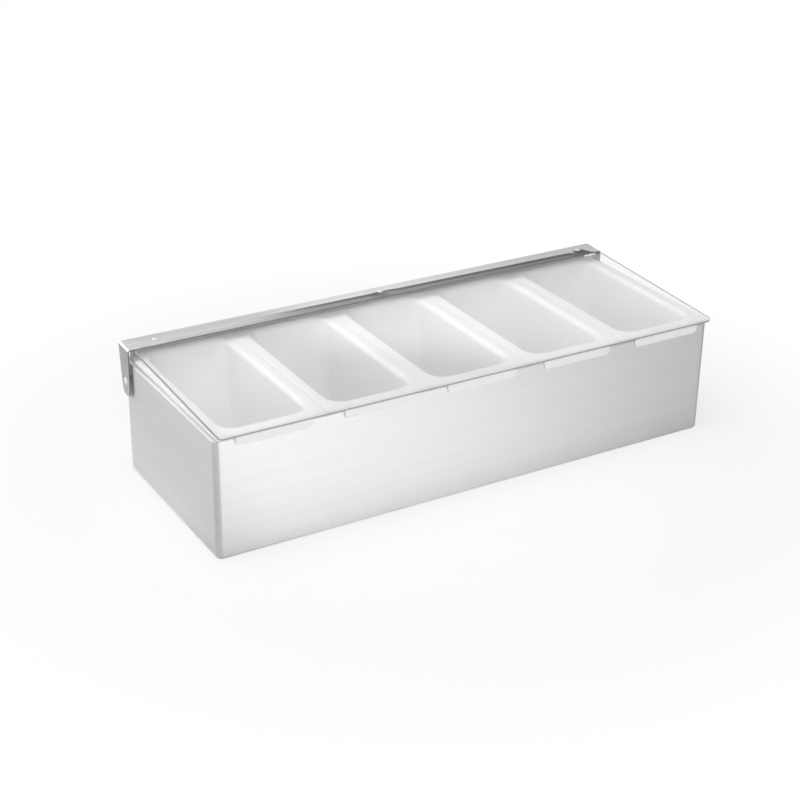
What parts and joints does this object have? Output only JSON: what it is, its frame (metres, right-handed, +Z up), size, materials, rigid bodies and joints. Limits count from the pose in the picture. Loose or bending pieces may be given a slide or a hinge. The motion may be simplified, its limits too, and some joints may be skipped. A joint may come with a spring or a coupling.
{
  "type": "bar garnish caddy",
  "caption": "Long stainless steel housing holding removable white trays side by side under one clear lid, which swings on a rear hinge bar.",
  "frame": {"origin": "middle of the housing's base, on the surface that it stands on", "axes": "+X along the caddy to the right end seen from the front, +Y from the front to the hinge side, +Z up"},
  "size_m": [0.4676, 0.1794, 0.114],
  "materials": {
    "sheet": "brushed along the length, satin",
    "fasteners": "polished heads",
    "trays": "smooth white, slightly glossy",
    "lid": "clear and glossy"
  },
  "bodies": {
    "housing": {"wall_band": "sheet", "base_plate": "sheet", "tray_1": "trays", "tray_2": "trays", "tray_3": "trays", "tray_4": "trays", "tray_5": "trays", "pivot_pin_left": "fasteners", "pivot_pin_right": "fasteners", "pivot_washer_left": "fasteners", "pivot_washer_right": "fasteners"},
    "lid": {"lid_panel": "lid", "hinge_bar": "sheet", "lid_rivet_left": "fasteners", "lid_rivet_middle": "fasteners", "lid_rivet_right": "fasteners", "rivet_washer_left": "fasteners", "rivet_washer_middle": "fasteners", "rivet_washer_right": "fasteners"}
  },
  "joints": [
    {"name": "lid_hinge", "type": "hinge", "parent": "housing", "child": "lid", "pos_m": [0, 0.079, 0.0825], "axis": [-1, 0, 0], "range_deg": [0, 145]}
  ]
}
